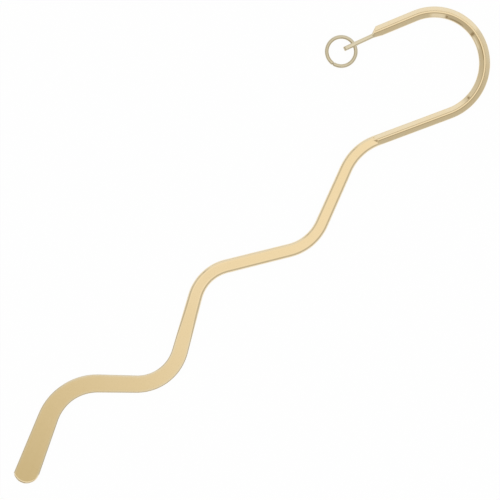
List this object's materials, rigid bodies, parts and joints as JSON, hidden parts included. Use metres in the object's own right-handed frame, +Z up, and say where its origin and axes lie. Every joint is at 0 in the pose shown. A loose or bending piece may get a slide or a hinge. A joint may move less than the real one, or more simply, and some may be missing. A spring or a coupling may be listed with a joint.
{
  "type": "hook bookmark",
  "caption": "Flat waved metal bookmark blade running into a ridged hook, with a loose jump ring in the eye at the hook's end to carry a charm.",
  "frame": {"origin": "middle of the lying object's outline, on the surface its flat back lies on", "axes": "+X along the blade towards the hook, +Y towards the side that the hook curls to, +Z up from the flat back to the ridge"},
  "size_m": [0.1174, 0.0272, 0.002],
  "materials": {
    "gilt_body": "polished pale gold plate",
    "gilt_wire": "polished pale gold plate"
  },
  "bodies": {
    "blade_body": {"hook_blade": "gilt_body"},
    "ring_body": {"jump_ring": "gilt_wire"}
  },
  "joints": [
    {"name": "ring_swing", "type": "hinge", "parent": "blade_body", "child": "ring_body", "pos_m": [0.03969, 0.01002, 0.001], "axis": [0.279, 0.9603, 0], "range_deg": [-152, 173]}
  ]
}
